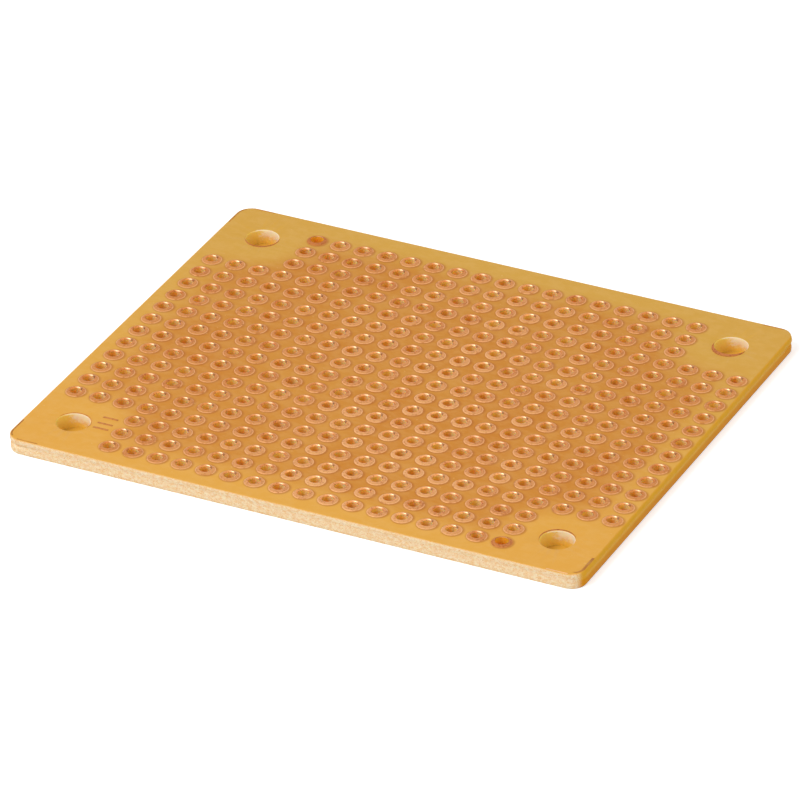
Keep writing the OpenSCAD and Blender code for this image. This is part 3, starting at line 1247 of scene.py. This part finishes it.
KEY_DIRECTION = Vector((-0.39, -0.51, 0.77))
LAMP_DISTANCE = 0.9
KEY_SIZE = 0.45
KEY_WATTS = 4.4
FILL_DIRECTION = Vector((0.85, -0.25, 0.45))
FILL_SIZE = 0.6
FILL_WATTS = 1.6
WORLD_LEVEL = 0.5
FLOOR_SIZE = 6
FLOOR_GREY = 0.8
FLOOR_LIFT = 0.5
UNDER_BOARD = 1.0 * MM
THROUGH_AMBER = colour(0.72, 0.41, 0.060)


def make_camera():
    data = bpy.data.cameras.new("camera")
    data.lens = CAMERA_LENS
    data.sensor_width = CAMERA_SENSOR
    data.clip_start = CAMERA_NEAR
    camera = bpy.data.objects.new("camera", data)
    azimuth, elevation = math.radians(CAMERA_AZIMUTH), math.radians(CAMERA_ELEVATION)
    back = Vector((
        math.sin(azimuth) * math.cos(elevation),
        -math.cos(azimuth) * math.cos(elevation),
        math.sin(elevation),
    ))
    turn = back.to_track_quat("Z", "Y").to_matrix().to_4x4()
    roll = Matrix.Rotation(math.radians(CAMERA_ROLL), 4, "Z")
    camera.matrix_world = Matrix.Translation(CAMERA_TARGET + back * CAMERA_DISTANCE) @ turn @ roll
    bpy.context.scene.collection.objects.link(camera)
    bpy.context.scene.camera = camera


def backdrop_share(tree):
    """1 for the rays that should see the white backdrop itself."""
    path = tree.nodes.new("ShaderNodeLightPath")
    total = path.outputs["Is Camera Ray"]
    for name in ("Is Glossy Ray", "Is Transmission Ray"):
        add = tree.nodes.new("ShaderNodeMath")
        add.operation = "MAXIMUM"
        tree.links.new(total, add.inputs[0])
        tree.links.new(path.outputs[name], add.inputs[1])
        total = add.outputs[0]
    return total


def make_world():
    world = bpy.data.worlds.new("studio")
    world.use_nodes = True
    tree = world.node_tree
    background = tree.nodes["Background"]
    level = tree.nodes.new("ShaderNodeMapRange")
    tree.links.new(backdrop_share(tree), level.inputs["Value"])
    level.inputs["To Min"].default_value = WORLD_LEVEL
    tree.links.new(level.outputs["Result"], background.inputs["Strength"])
    background.inputs["Color"].default_value = colour(1, 1, 1)
    bpy.context.scene.world = world


def make_light(name, direction, size, watts):
    """A soft square lamp that faces the board."""
    data = bpy.data.lights.new(name, "AREA")
    data.shape = "SQUARE"
    data.size = size
    data.energy = watts
    light = bpy.data.objects.new(name, data)
    away = direction.normalized()
    turn = away.to_track_quat("Z", "Y").to_matrix().to_4x4()
    light.matrix_world = Matrix.Translation(away * LAMP_DISTANCE) @ turn
    bpy.context.scene.collection.objects.link(light)


def make_floor():
    """White paper, which the light that comes through the board tints amber underneath it."""
    deselect_everything()
    bpy.ops.mesh.primitive_plane_add(size=FLOOR_SIZE, location=(0, 0, 0))
    floor = bpy.context.object
    floor.name = "floor"
    finish = Finish("white_paper")
    finish.tree.nodes.remove(finish.shader)
    reach_x, reach_y = (HALF_LENGTH - UNDER_BOARD) / MM, (HALF_WIDTH - UNDER_BOARD) / MM
    covered = finish.times(
        finish.math("LESS_THAN", finish.absolute(finish.x), reach_x),
        finish.math("LESS_THAN", finish.absolute(finish.y), reach_y),
    )
    paper = finish.node("ShaderNodeBsdfDiffuse")
    grey = colour(FLOOR_GREY, FLOOR_GREY, FLOOR_GREY)
    finish.link(finish.mix(covered, grey, THROUGH_AMBER), paper.inputs["Color"])
    glow = finish.node("ShaderNodeEmission")
    lift = finish.times(backdrop_share(finish.tree), FLOOR_LIFT)
    finish.link(finish.times(lift, finish.minus(1, covered)), glow.inputs["Strength"])
    both = finish.node("ShaderNodeAddShader")
    finish.link(paper.outputs[0], both.inputs[0])
    finish.link(glow.outputs[0], both.inputs[1])
    finish.link(both.outputs[0], finish.output.inputs["Surface"])
    floor.data.materials.append(finish.material)


make_camera()
make_world()
make_light("key", KEY_DIRECTION, KEY_SIZE, KEY_WATTS)
make_light("fill", FILL_DIRECTION, FILL_SIZE, FILL_WATTS)
make_floor()
make_laminate()
make_copper()
bpy.context.scene.view_settings.view_transform = "Standard"
